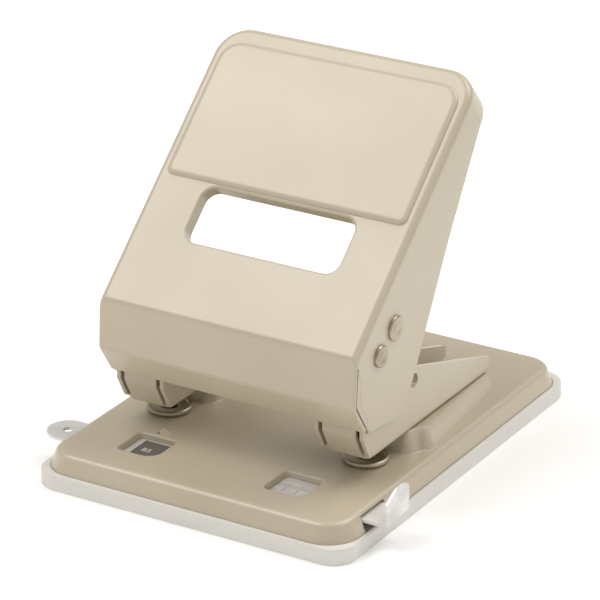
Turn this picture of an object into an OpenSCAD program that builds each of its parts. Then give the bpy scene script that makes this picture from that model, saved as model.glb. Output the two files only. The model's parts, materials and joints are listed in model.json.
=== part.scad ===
// Heavy-duty two-hole desk punch with a folded sheet-steel lever.
// X runs across the punch, +Y away from the user, +Z up. The origin is the
// middle of the flat underside of the chip tray. Units are millimetres.

/* [Base] */
// Width of the chip tray
tray_w = 125; // [112:1:150]
// Depth of the chip tray
tray_d = 164; // [150:1:196]
// Height of the tray's rim
tray_h = 6.2; // [5:0.1:7]
// Radius of the tray's corners
tray_r = 9; // [7:0.5:14]
// Thickness of the tray's floor
tray_floor = 1.6; // [1.2:0.1:2]
// Width of the rim that shows around the base plate
rim_w = 1.6; // [1.4:0.1:4]
// Height of the base plate's top above the table
plate_top = 12.8; // [12:0.1:16]
// Thickness of the base plate's sheet
plate_t = 1.2; // [0.8:0.1:1.5]
// Radius of the plate's corners at its foot
plate_r = 12; // [10:0.5:14]
// Size of the slope along the plate's top edge
plate_bevel = 2.6; // [1:0.2:3.4]
// Spread of the plate's skirt from that slope down to the tray
plate_flare = 1.5; // [0.5:0.1:2]

/* [Frames] */
// Distance between the two punched holes
hole_pitch = 80; // [70:1:84]
// Place of the punches along the base
punch_y = -28; // [-36:0.1:-20]
// Distance from a hole's centre to the edge of the paper
paper_margin = 12; // [10:0.5:14]
// Height of the top of the raised pads, which the frames stand on
pad_top = 20; // [19:0.1:24]
// Outer width of a frame
frame_w = 19.2; // [18.6:0.1:21]
// Thickness of the frames' sheet
frame_t = 1.5; // [1.2:0.1:1.8]
// Distance from the punch to the rear end of a frame
frame_rear = 71.4; // [60:0.1:76]
// Distance from the punch to the front end of a frame's web
frame_front = 13.2; // [12:0.1:15]
// Height of a frame's wall at its rear end
frame_rear_h = 6.2; // [5:0.1:9]
// Radius of the hole in a frame's outer wall
wall_hole_r = 2.6; // [1.5:0.1:3]

/* [Lever] */
// Length of the lever's top panel
lever_len = 110.8; // [96:0.1:124]
// Slope of the top panel at rest
lever_angle = 41.6; // [38:0.1:46]
// Thickness of the lever's sheet
lever_t = 1.2; // [0.8:0.1:1.4]
// Depth of the side wall at the lever's free end
lever_tip_depth = 13; // [8:0.5:18]
// Radius of the corners at the free end
lever_corner_r = 12; // [8:0.5:18]
// Width of the finger opening
window_w = 61; // [50:1:64]
// Length of the finger opening along the panel
window_len = 22; // [16:0.5:26]
// Distance from the front crease to the finger opening
window_s = 27.8; // [24:0.1:30]
// Radius of the finger opening's corners
window_r = 5; // [3:0.5:7]
// Depth of the lip folded in around the finger opening
window_lip = 4.5; // [2:0.1:6]
// Height of the raised palm rest
rest_h = 1.2; // [0.6:0.1:2]

/* [Mechanism] */
// Height of the pivot above the table
pivot_z = 58.7; // [57:0.1:62]
// Distance between pivot shaft and drive shaft
arm_len = 11.8; // [11:0.1:13]
// Angle of that arm above the horizontal at rest
arm_angle = 34; // [30:0.5:38]
// Angle the lever turns through from rest to fully pressed
press_angle = 40; // [36:1:42]
// Radius of the pivot shaft
pivot_r = 2.5; // [2:0.1:3]
// Radius of the drive shaft
drive_r = 3; // [2.5:0.1:3.4]
// Radius of the pivot shaft's heads
pivot_head_r = 4; // [3.5:0.1:5]
// Radius of the drive shaft's heads
drive_head_r = 4.5; // [4:0.1:5.5]
// Thickness of the shafts' heads
shaft_head_t = 1.3; // [0.8:0.1:2]
// Radius of a punch, which is half the hole's diameter
punch_r = 3; // [2.5:0.1:3.2]
// Radius of the punch's head
punch_head_r = 6.2; // [6:0.1:6.6]
// Diameter of the spring's wire
spring_wire = 0.9; // [0.7:0.1:1.2]
// Number of turns in a spring
spring_turns = 9; // [7:1:11]

/* [Paper guide] */
// Width of the guide's strip
guide_w = 15; // [12:0.5:17]
// Thickness of the guide's strip
guide_t = 1; // [0.8:0.1:1.2]
// Place of the strip's middle along the base
guide_y = -56.6; // [-60:0.1:-52]
// Reach of the strip's stop beyond the tray's side
guide_out = 6.5; // [4:0.5:10]
// Reach of the strip's round end beyond the tray's other side
guide_in = 9; // [8:0.5:12]
// Height of the stop above the strip
stop_h = 12; // [8:0.5:16]
// Side of the square windows that show the strip
view_size = 15; // [10:0.5:16]
// Place of the left viewing window
view_left_x = -31; // [-36:0.5:-24]
// Place of the right viewing window
view_right_x = 28.3; // [22:0.1:34]

/* [Hidden] */
$fn = 48;

steel = "lightsteelblue";
enamel = "wheat";
white_plastic = "whitesmoke";

run_gap = 0.05;     // radial clearance of a running fit
seat_gap = 0.02;    // clearance of a part fixed in its seat
free_gap = 0.3;     // clearance between parts that pass each other
eps = 0.1;          // overshoot of a cut past the face it opens

plate_w = tray_w - 2 * rim_w;
plate_d = tray_d - 2 * rim_w;
rim_lip = 3;          // the rim stands this far above the ledge
tray_edge = 0.6;      // size of the tray's broken edges
shelf_z = tray_h - rim_lip;
shelf_w = 3;
skirt_z = shelf_z + eps;
plate_under = plate_top - plate_t;

half_pitch = hole_pitch / 2;
stop_y = punch_y + paper_margin;
frame_rear_y = punch_y + frame_rear;
frame_nose_y = punch_y - frame_front;
web_top = pad_top + frame_t;
slot_overhang = 5.4;   // the nose leans forward by this much
slot_rise = 10;       // over this height
nose_y = frame_nose_y - slot_overhang;
flap_seam = 0.6;
pad_w = frame_w + 1.2;
pad_margin = 1.2;
pad_ear = 5.3;         // reach of the paper stop beyond the pad

arm_lag = arm_len * (cos(arm_angle) + 1) / 2;
pivot_y = punch_y - arm_lag;
drive_y = pivot_y + arm_len * cos(arm_angle);
drive_z = pivot_z + arm_len * sin(arm_angle);
ear_r = 6.6;
wall_hole_back = 16.2;   // from the punch to the hole in a frame's outer wall
wall_hole_up = 18.6;     // and its height above the pad
flap_top = pivot_z - 16;
wall_front_top = pivot_z - 14;

die_flange_r = 8.3;
die_flange_h = 2.2;
die_round = 1.2;       // the flange's upper edge is broken by this
die_top = plate_top + die_flange_h;
die_r = 5.5;
die_stake_r = 6.4;     // the foot is spread under the plate to hold the die
die_stake_t = 1;

bush_r = 4.4;
bush_flange_r = 6.6;
bush_flange_t = 1.5;
bush_top = web_top + 8;
punch_tip_z = pad_top + 0.3;
punch_top = drive_z - drive_r - 0.15;
punch_head_t = 4;
spring_z0 = web_top + bush_flange_t;
spring_z1 = punch_top - punch_head_t;
spring_r = bush_r + 0.55 + spring_wire / 2;

rivet_r = 2;
rivet_head_r = 3.4;
rivet_head_t = 1.4;
rivet_near = 32;       // from the punch to the front rivet of a frame
rivet_far = 60;        // from the punch to the rear rivet of a frame

crease_above_pivot = 4.5;
crease_before_pivot = 15.6;
crease = [pivot_y - crease_before_pivot, pivot_z + crease_above_pivot];
front_drop = 18.5;
front_lean = 1.1;
lower_back = 7.1;
lower_drop = 10.7;
front_end = crease + [-front_lean, -front_drop];
lip_end = front_end + [lower_back, -lower_drop];
side_gap = 0.5;        // room for a washer between frame and lever
frame_x = half_pitch;  // a frame straddles its punch
lever_in = frame_x + frame_w / 2 + side_gap;
lever_half = lever_in + lever_t;
lever_w = 2 * lever_half;
wall_heel = [pivot_y + 15.8, pivot_z - 29.6];
wall_bend = [pivot_y + 25.5, pivot_z - 13.8];
wall_rear_low = [pivot_y + 31.6, pivot_z - 2.2];
wall_rear_mid = [pivot_y + 47.6, pivot_z + 26.5];
rest_w = 92;
rest_s = window_s + window_len + 1.2;
rest_margin = 6.6;
rest_r = 6;
seam = 0.8;

guide_z = plate_top - 2.3 - guide_t;
guide_right = tray_w / 2 + guide_out;
guide_left = -tray_w / 2 - guide_in;
saddle_w = 8;
saddle_t = 1;
saddle_foot = 4;
saddle_x = [view_right_x - view_size / 2 - saddle_w / 2 - 0.8,   // one each side of the right window
            view_right_x + view_size / 2 + saddle_w / 2 + 6];
slot_side = guide_w / 2 + free_gap;

module along_x(x0, x1)
    translate([x0, 0, 0]) rotate([90, 0, 90]) linear_extrude(x1 - x0) children();

module both_sides() {
    children();
    mirror([1, 0, 0]) children();
}

module on_panel()
    translate([0, crease.x, crease.y]) rotate([lever_angle, 0, 0]) children();

module rounded_rect(w, d, r) {
    square([w - 2 * r, d], center = true);
    square([w, d - 2 * r], center = true);
    for (x = [-1, 1], y = [-1, 1])
        translate([x * (w / 2 - r), y * (d / 2 - r)]) circle(r);
}

module slab(w, d, r, z, h)
    translate([0, 0, z]) linear_extrude(h) rounded_rect(w, d, r);

// 2D helpers: the meeting point of two lines, and a line pushed sideways
function cross2(a, b) = a.x * b.y - a.y * b.x;
function meet(p, u, q, v) = p + u * (cross2(q - p, v) / cross2(u, v));
function unit(v) = v / norm(v);
function shifted(p, u, d) = p + d * [-unit(u).y, unit(u).x];

panel_dir = [cos(lever_angle), sin(lever_angle)];
front_dir = front_end - crease;
lower_dir = lip_end - front_end;
function panel_point(s, depth) = crease + s * panel_dir + depth * [panel_dir.y, -panel_dir.x];

// The lever's folded line, pushed inwards by d: crease, front fold and lip
function fold_crease(d) = meet(shifted(crease, panel_dir, -d), panel_dir,
                               shifted(crease, front_dir, d), front_dir);
function fold_front(d) = meet(shifted(crease, front_dir, d), front_dir,
                              shifted(front_end, lower_dir, d), lower_dir);
function fold_lip(d, more) = shifted(lip_end, lower_dir, d) + more * unit(lower_dir);

module chip_tray() color(white_plastic) difference() {
    hull() {
        slab(tray_w - 2 * tray_edge, tray_d - 2 * tray_edge, tray_r - tray_edge, 0, tray_h);
        slab(tray_w, tray_d, tray_r, tray_edge, tray_h - 2 * tray_edge);
    }
    slab(plate_w + 2 * eps, plate_d + 2 * eps, plate_r + eps, shelf_z, tray_h);
    slab(plate_w - 2 * shelf_w, plate_d - 2 * shelf_w, plate_r - shelf_w, tray_floor, tray_h);
}

module pad_outline(inset) polygon([
    [frame_x - pad_w / 2 + inset, stop_y + inset],
    [frame_x + pad_w / 2 - inset, stop_y + inset],
    [frame_x + pad_w / 2 - inset, stop_y + pad_ear + inset],
    [frame_x + pad_w / 2 + pad_ear - inset, stop_y + pad_ear + inset],
    [frame_x + pad_w / 2 - inset, frame_rear_y + pad_margin - inset],
    [frame_x - pad_w / 2 + inset, frame_rear_y + pad_margin - inset]]);

module view_window(x)
    translate([x, guide_y, plate_under - eps])
        linear_extrude(plate_t + 2 * eps) rounded_rect(view_size, view_size, 1.5);

// The plate's outer form pushed inwards by d: skirt, flare and top slope
module plate_form(d, z0, top) hull() {
    middle = d + plate_flare;
    upper = d / 2 + plate_flare + plate_bevel;
    slab(plate_w - 2 * d, plate_d - 2 * d, plate_r - d, z0, tray_h - z0);
    slab(plate_w - 2 * middle, plate_d - 2 * middle, plate_r - middle, z0,
         plate_top - plate_bevel - d / 2 - z0);
    slab(plate_w - 2 * upper, plate_d - 2 * upper, plate_r - upper, z0, top - z0);
}

module base_plate() color(enamel) difference() {
    union() {
        plate_form(0, skirt_z, plate_top);
        both_sides() translate([0, 0, plate_under]) linear_extrude(pad_top - plate_under) pad_outline(0);
    }
    plate_form(plate_t, skirt_z - 1, plate_under);
    both_sides() {
        translate([0, 0, plate_under - 1])
            linear_extrude(pad_top - plate_t - plate_under + 1) pad_outline(plate_t);
        translate([half_pitch, punch_y, plate_under - 1]) cylinder(r = die_r + seat_gap, h = 4);
        for (y = [rivet_near, rivet_far])
            translate([half_pitch, punch_y + y, pad_top - plate_t - eps])
                cylinder(r = rivet_r + seat_gap, h = plate_t + 2 * eps);
        translate([plate_w / 2 - plate_flare - plate_bevel - plate_t, guide_y - slot_side, skirt_z - 1])
            cube([plate_flare + plate_bevel + 2 * plate_t, 2 * slot_side, plate_under - skirt_z + 1]);
    }
    view_window(view_left_x);
    view_window(view_right_x);
}

// Outline of a frame's wall, without the round ear at the pivot
module frame_wall_outline() {
    line_rise = (pivot_z - 11 - (pad_top + frame_rear_h)) / (frame_rear_y - punch_y - 4);
    polygon([
        [frame_nose_y, pad_top],
        [nose_y, pad_top + slot_rise],
        [nose_y, wall_front_top],
        [pivot_y - ear_r, pivot_z - 2],
        [pivot_y + ear_r, pivot_z - 2],
        [pivot_y + ear_r + 2.5, pad_top + frame_rear_h + line_rise * (frame_rear_y - pivot_y - ear_r - 2.5)],
        [frame_rear_y - 1, pad_top + frame_rear_h],
        [frame_rear_y, pad_top + frame_rear_h - 1],
        [frame_rear_y, pad_top]]);
    translate([pivot_y, pivot_z]) circle(ear_r);
}

// Edge-on outline of the flap folded up at the front of a frame's web
module frame_flap_outline() {
    slant = [-slot_overhang, slot_rise];
    up = [0, 1];
    foot = [frame_nose_y, pad_top];
    knee = [nose_y, pad_top + slot_rise];
    inner_knee = meet(shifted(foot, slant, -frame_t), slant, [nose_y + frame_t, 0], up);
    polygon([foot, knee, [nose_y, flap_top], [nose_y + frame_t, flap_top], inner_knee,
        meet(shifted(foot, slant, -frame_t), slant, [0, web_top], [1, 0]),
        [frame_nose_y + frame_t, pad_top]]);
}

module frame() difference() {
    inner = frame_w / 2 - frame_t;
    union() {
        along_x(-frame_w / 2, -inner) frame_wall_outline();
        along_x(inner, frame_w / 2) frame_wall_outline();
        translate([-frame_w / 2, frame_nose_y, pad_top])
            cube([frame_w, frame_rear_y - frame_nose_y, frame_t]);
        along_x(flap_seam - inner, inner - flap_seam) frame_flap_outline();
    }
    translate([-frame_w, pivot_y, pivot_z]) rotate([0, 90, 0])
        cylinder(r = pivot_r + run_gap, h = 2 * frame_w);
    translate([0, punch_y, pad_top - eps]) cylinder(r = bush_r + seat_gap, h = frame_t + 2 * eps);
    for (y = [rivet_near, rivet_far])
        translate([0, punch_y + y, pad_top - eps]) cylinder(r = rivet_r + seat_gap, h = frame_t + 2 * eps);
    translate([inner - eps, punch_y + wall_hole_back, pad_top + wall_hole_up])
        rotate([0, 90, 0]) cylinder(r = wall_hole_r, h = frame_t + 2 * eps);
}

module right_frame() color(enamel) translate([frame_x, 0, 0]) frame();
module left_frame() color(enamel) mirror([1, 0, 0]) translate([frame_x, 0, 0]) frame();

module frame_rivet() {
    translate([0, 0, pad_top - plate_t - rivet_head_t]) cylinder(r = rivet_head_r - 0.4, h = rivet_head_t);
    translate([0, 0, pad_top - plate_t]) cylinder(r = rivet_r, h = plate_t + frame_t);
    translate([0, 0, web_top]) cylinder(r1 = rivet_head_r, r2 = rivet_head_r - 1, h = rivet_head_t);
}

module frame_rivets() color(steel)
    for (x = [-half_pitch, half_pitch], y = [rivet_near, rivet_far])
        translate([x, punch_y + y, 0]) frame_rivet();

module die() difference() {
    union() {
        translate([0, 0, plate_top]) cylinder(r = die_flange_r, h = die_flange_h - die_round);
        translate([0, 0, die_top - die_round])
            cylinder(r1 = die_flange_r, r2 = die_flange_r - die_round, h = die_round);
        translate([0, 0, plate_under]) cylinder(r = die_r, h = plate_t);
        translate([0, 0, plate_under - die_stake_t]) cylinder(r = die_stake_r, h = die_stake_t);
    }
    translate([0, 0, plate_under - die_stake_t - eps])
        cylinder(r = punch_r + run_gap, h = die_top - plate_under + die_stake_t + 2 * eps);
}

module right_die() color(steel) translate([half_pitch, punch_y, 0]) die();
module left_die() color(steel) translate([-half_pitch, punch_y, 0]) die();

module guide_bush() difference() {
    union() {
        translate([0, 0, pad_top]) cylinder(r = bush_r, h = bush_top - pad_top);
        translate([0, 0, web_top]) cylinder(r = bush_flange_r, h = bush_flange_t);
    }
    translate([0, 0, pad_top - eps]) cylinder(r = punch_r + run_gap, h = bush_top - pad_top + 2 * eps);
}

module right_guide_bush() color(steel) translate([half_pitch, punch_y, 0]) guide_bush();
module left_guide_bush() color(steel) translate([-half_pitch, punch_y, 0]) guide_bush();

module punch() difference() {
    union() {
        translate([0, 0, punch_tip_z]) cylinder(r = punch_r, h = punch_top - punch_tip_z);
        translate([0, 0, punch_top - punch_head_t]) cylinder(r = punch_head_r, h = punch_head_t);
    }
    // the hollow ground across the tip leaves two cutting points
    translate([-punch_r - 1, 0, punch_tip_z - punch_r]) rotate([0, 90, 0])
        cylinder(r = punch_r + 1, h = 2 * punch_r + 2);
}

module right_punch() color(steel) translate([half_pitch, punch_y, 0]) punch();
module left_punch() color(steel) translate([-half_pitch, punch_y, 0]) punch();

// A coil spring as one swept tube: rings of points round the helix, then caps
module coil_spring(z0, z1) {
    sides = 6;
    steps = 14;
    rings = spring_turns * steps;
    wire = spring_wire / 2;
    rise = z1 - z0 - spring_wire - 2 * eps;
    points = [for (i = [0:rings], k = [0:sides - 1])
        let (a = 360 * i / steps, b = 360 * k / sides, r = spring_r + wire * cos(b))
        [r * cos(a), r * sin(a), z0 + eps + wire + rise * i / rings + wire * sin(b)]];
    walls = [for (i = [0:rings - 1], k = [0:sides - 1])
        let (n = (k + 1) % sides)
        each [[i * sides + k, i * sides + n, (i + 1) * sides + n],
              [i * sides + k, (i + 1) * sides + n, (i + 1) * sides + k]]];
    first = [[for (k = [sides - 1:-1:0]) k]];
    last = [[for (k = [0:sides - 1]) rings * sides + k]];
    polyhedron(points, concat(walls, first, last));
}

module right_spring() color(steel) translate([half_pitch, punch_y, 0]) coil_spring(spring_z0, spring_z1);
module left_spring() color(steel) translate([-half_pitch, punch_y, 0]) coil_spring(spring_z0, spring_z1);

// The lever's plan on its top panel, pushed inwards by d
module lever_plan(d) {
    r = lever_corner_r - d;
    w = lever_half - d;
    len = lever_len - d;
    reach = 80;    // far enough ahead of the crease to take in the whole front
    translate([-w, -reach]) square([2 * w, reach + len - r]);
    translate([-w + r, -reach]) square([2 * (w - r), reach + len]);
    for (x = [-1, 1]) translate([x * (w - r), len - r]) circle(r);
}

module lever_side() polygon([
    crease, front_end, lip_end, wall_heel, wall_bend, wall_rear_low, wall_rear_mid,
    panel_point(lever_len, lever_tip_depth), panel_point(lever_len, 0)]);

module lever_hollow() polygon([
    fold_crease(lever_t), fold_front(lever_t), fold_lip(lever_t, 40),
    [160, -60], fold_crease(lever_t) + 160 * panel_dir]);

module panel_prism(depth, above) on_panel()
    translate([0, 0, -depth]) linear_extrude(depth + above) children();

module finger_opening(grow)
    translate([0, window_s + window_len / 2])
        rounded_rect(window_w + 2 * grow, window_len + 2 * grow, window_r + grow);

module palm_rest(d)
    translate([0, (rest_s + lever_len - rest_margin) / 2])
        rounded_rect(rest_w - 2 * d, lever_len - rest_margin - rest_s - 2 * d, rest_r - d);

module lever_seam() {
    top = crease.y - 3.5;
    level = [1, 0];
    polygon([
        meet(shifted(crease, front_dir, lever_t), front_dir, [0, top], level),
        fold_front(lever_t), fold_lip(lever_t, 6), fold_lip(lever_t + seam, 6), fold_front(lever_t + seam),
        meet(shifted(crease, front_dir, lever_t + seam), front_dir, [0, top], level)]);
}

module cross_bore(y, z, r)
    translate([-lever_half - 1, y, z]) rotate([0, 90, 0]) cylinder(r = r, h = lever_w + 2);

module lever() color(enamel) difference() {
    union() {
        difference() {
            intersection() {
                along_x(-lever_half, lever_half) lever_side();
                panel_prism(90, 1) lever_plan(0);
            }
            intersection() {
                along_x(-lever_in, lever_in) lever_hollow();
                panel_prism(90, 1) lever_plan(lever_t);
            }
        }
        panel_prism(lever_t / 2, rest_h) palm_rest(0);
        difference() {
            panel_prism(window_lip, 0) finger_opening(lever_t);
            panel_prism(window_lip + 1, 1) finger_opening(0);
        }
    }
    panel_prism(window_lip + 1, rest_h + 1) finger_opening(0);
    panel_prism(lever_t + 1, rest_h - lever_t) palm_rest(lever_t);
    both_sides() along_x(lever_in - eps, lever_half + eps) lever_seam();
    cross_bore(pivot_y, pivot_z, pivot_r + seat_gap);
    cross_bore(drive_y, drive_z, drive_r + seat_gap);
}

module headed_shaft(y, z, r, head_r) translate([0, y, z]) rotate([0, 90, 0]) {
    cylinder(r = r, h = lever_w, center = true);
    for (side = [0, 1]) mirror([0, 0, side]) translate([0, 0, lever_half])
        cylinder(r1 = head_r, r2 = head_r - 0.4, h = shaft_head_t);
}

module pivot_shaft() color(steel) headed_shaft(pivot_y, pivot_z, pivot_r, pivot_head_r);
module drive_shaft() color(steel) headed_shaft(drive_y, drive_z, drive_r, drive_head_r);

module pivot_washers() color(steel) both_sides()
    translate([lever_in - side_gap + run_gap, pivot_y, pivot_z]) rotate([0, 90, 0]) difference() {
        cylinder(r = ear_r - 0.6, h = side_gap - 2 * run_gap);
        translate([0, 0, -eps]) cylinder(r = pivot_r + run_gap, h = side_gap + 2 * eps);
    }

module stop_outline() {
    // seen along X: a plate with its front corner cut away and its rear corner round
    rear_r = 4;
    half = guide_w / 2;
    translate([guide_y, guide_z]) {
        polygon([[-half, 0], [half, 0], [half, stop_h - rear_r], [half - rear_r, stop_h],
            [half - rear_r - 2, stop_h], [-half, stop_h - 3.5]]);
        intersection() {
            translate([half - rear_r, stop_h - rear_r]) circle(rear_r);
            translate([half - rear_r, stop_h - rear_r]) square(rear_r);
        }
    }
}

module paper_guide() color(steel) {
    end_r = guide_w / 2;
    difference() {
        union() {
            translate([guide_left + end_r, guide_y - end_r, guide_z])
                cube([guide_right - guide_left - end_r, guide_w, guide_t]);
            translate([guide_left + end_r, guide_y, guide_z]) cylinder(r = end_r, h = guide_t);
        }
        translate([guide_left + end_r, guide_y, guide_z - eps]) cylinder(r = 1.8, h = guide_t + 2 * eps);
    }
    along_x(guide_right - guide_t, guide_right) stop_outline();
}

// A strap under the paper guide, with a foot welded to the plate on each side
module saddle_outline() {
    half = slot_side;
    top = plate_under;
    under = guide_z - free_gap;
    translate([guide_y, 0]) polygon([
        [-half - saddle_foot - saddle_t, top], [-half - saddle_foot - saddle_t, top - saddle_t],
        [-half - saddle_t, top - saddle_t], [-half - saddle_t, under - saddle_t],
        [half + saddle_t, under - saddle_t], [half + saddle_t, top - saddle_t],
        [half + saddle_foot + saddle_t, top - saddle_t], [half + saddle_foot + saddle_t, top],
        [half, top], [half, under], [-half, under], [-half, top]]);
}

module guide_saddle(x) along_x(x - saddle_w / 2, x + saddle_w / 2) saddle_outline();

module left_guide_saddle() color(steel) guide_saddle(saddle_x[0]);
module right_guide_saddle() color(steel) guide_saddle(saddle_x[1]);

// A thin bowed strip between the plate and the guide: it holds the guide where it is put
module guide_leaf_spring() color(steel) {
    half = 7.5;
    leaf_t = 0.3;
    sag = plate_under - guide_z - guide_t - leaf_t - run_gap;
    count = 12;
    line = [for (i = [0:count]) let (t = -1 + 2 * i / count) [half * t, -sag * (1 + cos(180 * t)) / 2]];
    translate([saddle_x[1], guide_y + 4, plate_under]) rotate([90, 0, 0]) linear_extrude(8)
        polygon(concat(line, [for (i = [count:-1:0]) line[i] - [0, leaf_t]]));
}

chip_tray();
base_plate();
left_frame();
right_frame();
frame_rivets();
left_die();
right_die();
left_guide_bush();
right_guide_bush();
left_punch();
right_punch();
left_spring();
right_spring();
lever();
pivot_shaft();
drive_shaft();
pivot_washers();
paper_guide();
left_guide_saddle();
right_guide_saddle();
guide_leaf_spring();
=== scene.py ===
"""Two-hole desk punch: enamelled steel base and lever on an off-white chip tray."""
import json
import logging
import math
from dataclasses import dataclass, field
from enum import Enum
from typing import Callable, Sequence

import bmesh
import bpy
import numpy as np
from mathutils import Matrix, Vector
from mathutils.geometry import delaunay_2d_cdt


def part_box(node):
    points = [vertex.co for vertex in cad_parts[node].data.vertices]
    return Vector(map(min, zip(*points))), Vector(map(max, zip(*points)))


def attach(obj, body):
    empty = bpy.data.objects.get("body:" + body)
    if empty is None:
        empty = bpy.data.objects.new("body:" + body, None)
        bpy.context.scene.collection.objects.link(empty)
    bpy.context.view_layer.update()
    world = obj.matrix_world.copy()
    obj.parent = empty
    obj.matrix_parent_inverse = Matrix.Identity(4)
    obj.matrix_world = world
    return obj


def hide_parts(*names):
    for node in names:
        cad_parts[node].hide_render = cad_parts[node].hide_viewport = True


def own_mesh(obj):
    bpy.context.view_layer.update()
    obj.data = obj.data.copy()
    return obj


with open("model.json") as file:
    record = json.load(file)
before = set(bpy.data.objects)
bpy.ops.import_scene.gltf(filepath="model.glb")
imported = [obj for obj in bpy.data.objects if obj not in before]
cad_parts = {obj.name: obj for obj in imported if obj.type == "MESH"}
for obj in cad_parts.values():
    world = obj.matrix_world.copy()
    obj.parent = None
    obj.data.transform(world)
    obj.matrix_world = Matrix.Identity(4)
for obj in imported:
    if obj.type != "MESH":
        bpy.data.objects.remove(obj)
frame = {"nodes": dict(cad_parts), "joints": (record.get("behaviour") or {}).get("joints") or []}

log = logging.getLogger("hole_punch")
MM = 0.001
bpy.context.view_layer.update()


# ---------------------------------------------------------------- shader maths
class Sx:
    """A shader value: one socket, with the arithmetic operators as Math nodes."""

    def __init__(self, tree: "Shader", socket: bpy.types.NodeSocket) -> None:
        """Keeps the tree and the socket that holds the value."""
        self.tree = tree
        self.socket = socket

    def _math(self, operation: str, *values: "Sx | float", clamp: bool = False) -> "Sx":
        """Adds one Math node.

        Args:
            operation: the Math node's operation.
            values: its inputs, sockets or numbers.
            clamp: whether the result stays between 0 and 1.

        Returns:
            The node's value.
        """
        return self.tree.node("ShaderNodeMath", {"operation": operation, "use_clamp": clamp}, *values)

    def __add__(self, other: "Sx | float") -> "Sx":
        """Sum."""
        return self._math("ADD", self, other)

    def __radd__(self, other: float) -> "Sx":
        """Sum with a number on the left."""
        return self._math("ADD", other, self)

    def __sub__(self, other: "Sx | float") -> "Sx":
        """Difference."""
        return self._math("SUBTRACT", self, other)

    def __rsub__(self, other: float) -> "Sx":
        """Difference from a number on the left."""
        return self._math("SUBTRACT", other, self)

    def __mul__(self, other: "Sx | float") -> "Sx":
        """Product."""
        return self._math("MULTIPLY", self, other)

    def __rmul__(self, other: float) -> "Sx":
        """Product with a number on the left."""
        return self._math("MULTIPLY", other, self)

    def __gt__(self, other: "Sx | float") -> "Sx":
        """1 where the value is greater, else 0."""
        return self._math("GREATER_THAN", self, other)

    def __lt__(self, other: "Sx | float") -> "Sx":
        """1 where the value is less, else 0."""
        return self._math("LESS_THAN", self, other)

    def __abs__(self) -> "Sx":
        """Size without sign."""
        return self._math("ABSOLUTE", self)

    def every(self, step: float) -> "Sx":
        """The value's remainder, from 0 up to step, in a repeat of that length."""
        return self._math("FLOORED_MODULO", self, step)

    def held(self) -> "Sx":
        """The value kept between 0 and 1."""
        return self._math("ADD", self, 0.0, clamp=True)


class Shader:
    """One material's node tree, built through calls."""

    def __init__(self, name: str) -> None:
        """Starts a material with an empty tree.

        Args:
            name: the material's name.
        """
        self.material = bpy.data.materials.new(name)
        self.material.use_nodes = True
        self.tree = self.material.node_tree
        self.tree.nodes.clear()
        self.output = self.tree.nodes.new("ShaderNodeOutputMaterial")

    def node(self, kind: str, settings: dict | None = None, *inputs: "Sx | float | None",
             out: int = 0, **named: object) -> Sx:
        """Adds one node.

        Args:
            kind: the node's type.
            settings: its properties, set before the inputs.
            inputs: values or links of its first sockets, None for a socket left alone.
            out: index of the output that is returned.
            named: values or links of sockets by name, with _ for a space.

        Returns:
            The chosen output.
        """
        made = self.tree.nodes.new(kind)
        for key, value in (settings or {}).items():
            setattr(made, key, value)
        pairs = [(made.inputs[i], v) for i, v in enumerate(inputs) if v is not None]
        pairs += [(made.inputs[key.replace("_", " ")], v) for key, v in named.items()]
        for socket, value in pairs:
            if isinstance(value, Sx):
                self.tree.links.new(value.socket, socket)
            else:
                socket.default_value = value
        return Sx(self, made.outputs[out])

    def ramp(self, value: Sx, low: float, high: float) -> Sx:
        """value stretched so that low becomes 0 and high becomes 1, held between them."""
        return self.node("ShaderNodeMapRange", None, value, low, high, 0.0, 1.0)

    def mix(self, factor: "Sx | float", a: "Sx | tuple", b: "Sx | tuple") -> Sx:
        """Colour a turned to colour b by factor.

        Args:
            factor: share of b, 0 to 1.
            a: first colour.
            b: second colour.

        Returns:
            The mixed colour.
        """
        made = self.tree.nodes.new("ShaderNodeMix")
        made.data_type = "RGBA"
        for socket, value in ((made.inputs[0], factor), (made.inputs[6], a), (made.inputs[7], b)):
            if isinstance(value, Sx):
                self.tree.links.new(value.socket, socket)
            else:
                socket.default_value = value
        return Sx(self, made.outputs[2])

    def place(self) -> Sx:
        """Object coordinates, in metres."""
        return self.node("ShaderNodeTexCoord", None, out=3)

    def axes(self) -> tuple[Sx, Sx, Sx]:
        """The three Object coordinates as values.

        Returns:
            X, Y and Z, in metres.
        """
        split = self.node("ShaderNodeSeparateXYZ", None, self.place())
        outputs = split.socket.node.outputs
        return tuple(Sx(self, outputs[i]) for i in range(3))

    def noise(self, scale: float, detail: float = 3.0, stretch: tuple = (1, 1, 1)) -> Sx:
        """Noise over Object coordinates: scale in waves a metre, stretched along the axes."""
        point = self.node("ShaderNodeMapping", None, self.place(), Scale=stretch)
        return self.node("ShaderNodeTexNoise", None, point, Scale=scale, Detail=detail)

    def finish(self, colour: "Sx | tuple", roughness: "Sx | float", height: Sx | None = None,
               bump: float = 0.0, **constants: float) -> bpy.types.Material:
        """Closes the material with one Principled shader.

        Args:
            colour: base colour.
            roughness: roughness.
            height: value that raises the surface, in bump metres at 1.
            bump: height of the bumps in metres.
            constants: fixed values of other sockets.

        Returns:
            The material.
        """
        named = {"Base_Color": colour, "Roughness": roughness, **constants}
        if height is not None:
            named["Normal"] = self.node("ShaderNodeBump", None, Height=height, Distance=bump, Strength=1.0)
        shader = self.node("ShaderNodeBsdfPrincipled", None, **named)
        self.tree.links.new(shader.socket, self.output.inputs["Surface"])
        return self.material


def rgba(r: float, g: float, b: float) -> tuple[float, float, float, float]:
    """A linear colour from display values of 0 to 255."""
    def linear(c: float) -> float:
        """One channel, by the usual display curve."""
        c /= 255.0
        return c / 12.92 if c <= 0.04045 else ((c + 0.055) / 1.055) ** 2.4
    return linear(r), linear(g), linear(b), 1.0


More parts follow.
